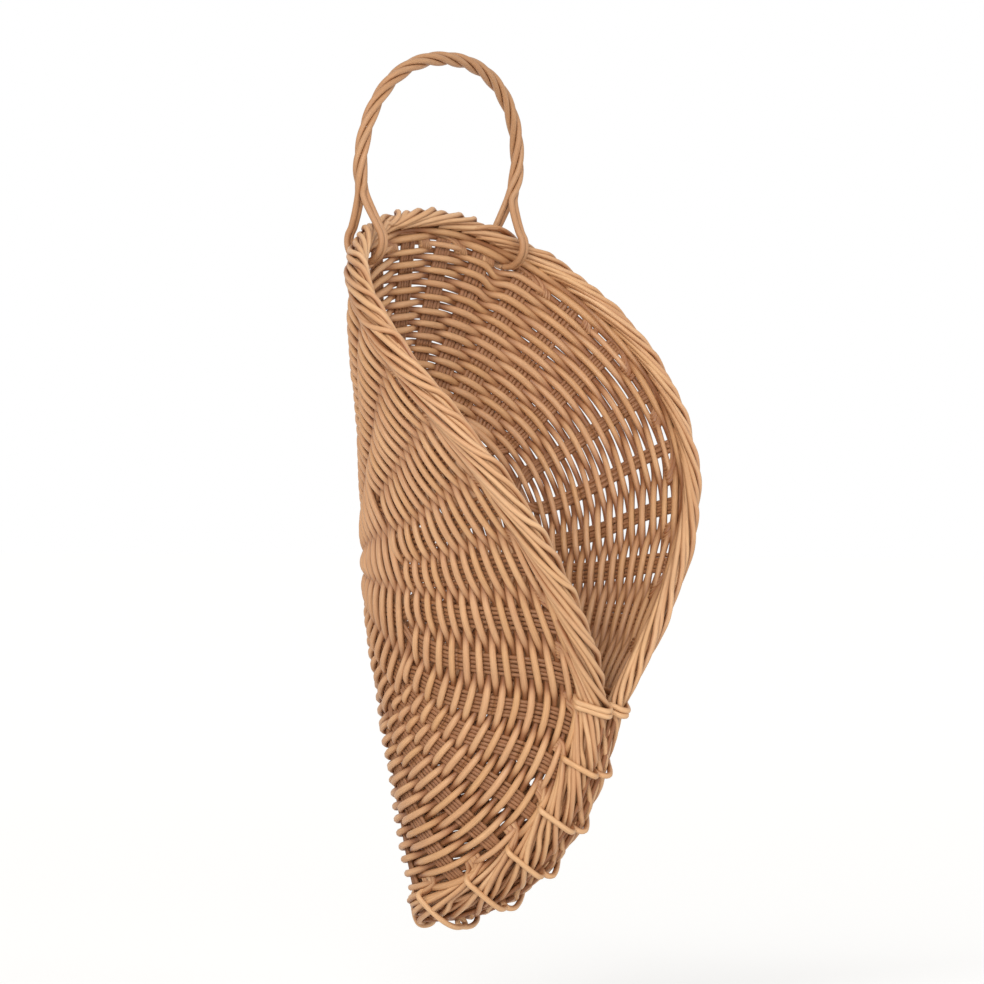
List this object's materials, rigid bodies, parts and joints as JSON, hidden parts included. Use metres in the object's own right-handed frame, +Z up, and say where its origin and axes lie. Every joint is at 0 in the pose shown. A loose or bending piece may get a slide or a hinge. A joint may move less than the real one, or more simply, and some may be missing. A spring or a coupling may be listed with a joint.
{
  "type": "hanging cornucopia basket",
  "caption": "Wicker horn rolled from a round woven mat, laced up its lower front, with a plaited rim and a twisted hoop handle that hangs on a wall peg.",
  "frame": {"origin": "where the wall peg bears, under the crown of the handle, in the plane that mirrors the horn", "axes": "+Z up, -Y out of the mouth and away from the wall, +X to the right seen from the front; the back of the horn faces the wall at +Y"},
  "size_m": [0.2538, 0.1752, 0.5091],
  "materials": {
    "weave_cane": "satin, woven round rods with fine grain along them",
    "rim_cane": "satin, plaited round rods",
    "lacing_cane": "satin round rod",
    "handle_cane": "satin round rod, twisted"
  },
  "bodies": {
    "handle": {"handle_rod_1": "handle_cane", "handle_rod_2": "handle_cane", "handle_rod_3": "handle_cane", "handle_rod_4": "handle_cane"},
    "basket": {"woven_centre": "weave_cane", "weave_band_1": "weave_cane", "weave_band_2": "weave_cane", "weave_band_3": "weave_cane", "weave_band_4": "weave_cane", "weave_band_5": "weave_cane", "weave_band_6": "weave_cane", "weave_band_7": "weave_cane", "weave_band_8": "weave_cane", "rim_wale": "rim_cane", "rim_plait": "rim_cane", "seam_tie_1": "lacing_cane", "seam_tie_2": "lacing_cane", "seam_tie_3": "lacing_cane", "seam_tie_4": "lacing_cane", "seam_tie_5": "lacing_cane", "seam_tie_6": "lacing_cane", "tip_binding": "lacing_cane"}
  },
  "joints": [
    {"name": "basket_tilt", "type": "hinge", "parent": "handle", "child": "basket", "pos_m": [0, 0.00695, -0.10286], "axis": [-1, 0, 0], "range_deg": [0, 15]}
  ]
}
